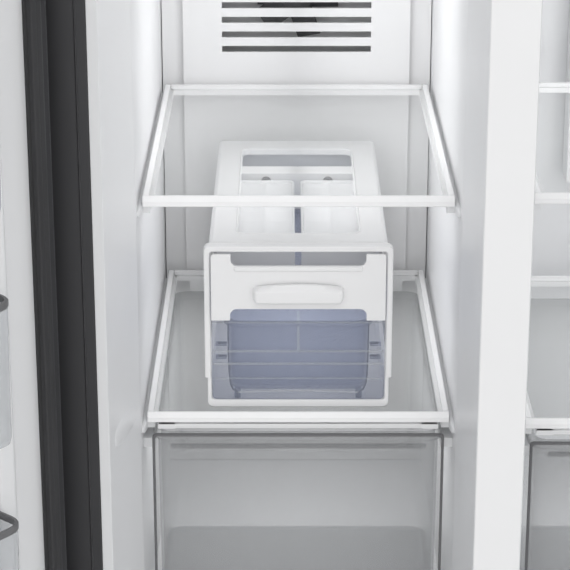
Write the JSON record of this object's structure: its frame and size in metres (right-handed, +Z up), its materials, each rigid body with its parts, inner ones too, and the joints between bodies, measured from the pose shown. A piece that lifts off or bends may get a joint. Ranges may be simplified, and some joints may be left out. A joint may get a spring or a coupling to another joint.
{
  "type": "side by side refrigerator",
  "caption": "Side by side refrigerator with both doors open, glass shelves, drawers, door bins and a twist-tray ice maker in the freezer.",
  "frame": {"origin": "on the floor, under the middle of the cabinet front face", "axes": "+Z up, +Y from the open front towards the back, +X to the right seen from the front"},
  "size_m": [1.5431, 1.076, 1.775],
  "materials": {
    "dark_steel": "satin",
    "back_steel": "satin",
    "zinc_steel": "satin",
    "black_steel": "satin",
    "white_liner": "satin",
    "white_trim": "satin",
    "clear_glass": "gloss",
    "smoke_drawer": "satin",
    "clear_bin": "gloss",
    "blue_bucket": "satin",
    "tray_plastic": "satin",
    "gasket_rubber": "matte",
    "black_plastic": "matte",
    "grey_plastic": "matte",
    "lamp_plastic": "gloss",
    "fin_aluminium": "satin",
    "handle_steel": "satin",
    "foam": "matte"
  },
  "bodies": {
    "cabinet": {"back_panel": "back_steel", "base_frame": "zinc_steel", "bottom_hinge_brackets": "zinc_steel", "cabinet_foam": "foam", "compressor": "black_steel", "condenser": "fin_aluminium", "control_box": "black_plastic", "drain_tray": "black_plastic", "evaporator_coil": "fin_aluminium", "evaporator_cover": "white_trim", "fan_motors": "grey_plastic", "freezer_liner": "white_liner", "freezer_lower_shelf_frame": "white_trim", "freezer_lower_shelf_glass": "clear_glass", "freezer_middle_shelf_frame": "white_trim", "freezer_middle_shelf_glass": "clear_glass", "freezer_upper_shelf_frames": "white_trim", "freezer_upper_shelf_glasses": "clear_glass", "fridge_air_duct": "white_trim", "fridge_liner": "white_liner", "fridge_lower_shelf_frame": "white_trim", "fridge_lower_shelf_glass": "clear_glass", "fridge_upper_shelf_frames": "white_trim", "fridge_upper_shelf_glasses": "clear_glass", "hinge_covers": "black_plastic", "kick_grille": "black_plastic", "lamp_covers": "lamp_plastic", "levelling_feet": "black_plastic", "machine_cover": "back_steel", "mullion_cover": "white_trim", "outer_case": "dark_steel", "top_hinge_brackets": "zinc_steel"},
    "freezer_door": {"freezer_door_skin": "dark_steel", "freezer_door_foam": "foam", "freezer_door_liner": "white_liner", "freezer_door_gasket": "gasket_rubber", "freezer_door_bins": "clear_bin", "freezer_door_handle": "handle_steel"},
    "fridge_door": {"fridge_door_skin": "dark_steel", "fridge_door_foam": "foam", "fridge_door_liner": "white_liner", "fridge_door_gasket": "gasket_rubber", "fridge_door_bins": "clear_bin", "fridge_door_handle": "handle_steel"},
    "dairy_cover": {"dairy_cover": "clear_bin"},
    "evaporator_fan": {"evaporator_fan": "grey_plastic"},
    "condenser_fan": {"condenser_fan": "black_plastic"},
    "damper": {"damper_flap": "grey_plastic"},
    "rollers": {"rear_rollers": "black_plastic"},
    "ice_maker": {"ice_maker_housing": "white_trim", "ice_maker_base": "white_trim", "ice_tray_frame": "white_trim"},
    "ice_lever": {"ice_lever": "white_trim"},
    "ice_tray_left": {"ice_tray_left": "tray_plastic"},
    "ice_tray_right": {"ice_tray_right": "tray_plastic"},
    "ice_bucket": {"ice_bucket": "blue_bucket"},
    "freezer_upper_drawer": {"freezer_upper_drawer": "smoke_drawer"},
    "freezer_lower_drawer": {"freezer_lower_drawer": "smoke_drawer"},
    "crisper_upper_drawer": {"crisper_upper_drawer": "smoke_drawer"},
    "crisper_lower_drawer": {"crisper_lower_drawer": "smoke_drawer"}
  },
  "joints": [
    {"name": "freezer_door_hinge", "type": "hinge", "parent": "cabinet", "child": "freezer_door", "pos_m": [-0.446, -0.039, 0.9], "axis": [0, 0, -1], "range_deg": [-130, 5]},
    {"name": "fridge_door_hinge", "type": "hinge", "parent": "cabinet", "child": "fridge_door", "pos_m": [0.446, -0.039, 0.9], "axis": [0, 0, 1], "range_deg": [-130, 5]},
    {"name": "dairy_cover_hinge", "type": "hinge", "parent": "fridge_door", "child": "dairy_cover", "pos_m": [0.58866, -0.25569, 1.5265], "axis": [-0.6428, 0.766, 0], "range_deg": [0, 75]},
    {"name": "evaporator_fan_spin", "type": "hinge", "parent": "cabinet", "child": "evaporator_fan", "pos_m": [-0.2042, 0.576, 0.92], "axis": [0, 1, 0], "continuous": true},
    {"name": "condenser_fan_spin", "type": "hinge", "parent": "cabinet", "child": "condenser_fan", "pos_m": [-0.102, 0.545, 0.15], "axis": [1, 0, 0], "continuous": true},
    {"name": "damper_pivot", "type": "hinge", "parent": "cabinet", "child": "damper", "pos_m": [0.1883, 0.586, 1.545], "axis": [1, 0, 0], "range_deg": [0, 90]},
    {"name": "roller_spin", "type": "hinge", "parent": "cabinet", "child": "rollers", "pos_m": [0, 0.59, 0.02], "axis": [1, 0, 0], "continuous": true},
    {"name": "ice_maker_slide", "type": "slide", "parent": "cabinet", "child": "ice_maker", "axis": [0, -1, 0], "range_m": [0, 0.3]},
    {"name": "ice_lever_hinge", "type": "hinge", "parent": "ice_maker", "child": "ice_lever", "pos_m": [-0.2042, 0.133, 0.731], "axis": [-1, 0, 0], "range_deg": [0, 25]},
    {"name": "ice_tray_left_twist", "type": "hinge", "parent": "ice_maker", "child": "ice_tray_left", "pos_m": [-0.2377, 0.28, 0.749], "axis": [0, -1, 0], "range_deg": [0, 145]},
    {"name": "ice_tray_right_twist", "type": "hinge", "parent": "ice_maker", "child": "ice_tray_right", "pos_m": [-0.1707, 0.28, 0.749], "axis": [0, 1, 0], "range_deg": [0, 145]},
    {"name": "ice_bucket_slide", "type": "slide", "parent": "ice_maker", "child": "ice_bucket", "axis": [0, -1, 0], "range_m": [0, 0.28]},
    {"name": "freezer_upper_drawer_slide", "type": "slide", "parent": "cabinet", "child": "freezer_upper_drawer", "axis": [0, -1, 0], "range_m": [0, 0.3]},
    {"name": "freezer_lower_drawer_slide", "type": "slide", "parent": "cabinet", "child": "freezer_lower_drawer", "axis": [0, -1, 0], "range_m": [0, 0.18]},
    {"name": "crisper_upper_drawer_slide", "type": "slide", "parent": "cabinet", "child": "crisper_upper_drawer", "axis": [0, -1, 0], "range_m": [0, 0.3]},
    {"name": "crisper_lower_drawer_slide", "type": "slide", "parent": "cabinet", "child": "crisper_lower_drawer", "axis": [0, -1, 0], "range_m": [0, 0.18]}
  ],
  "couplings": [
    {"joint": "ice_lever_hinge", "follows": "ice_tray_left_twist", "ratio": 0.172},
    {"joint": "ice_tray_right_twist", "follows": "ice_tray_left_twist", "ratio": 1}
  ]
}
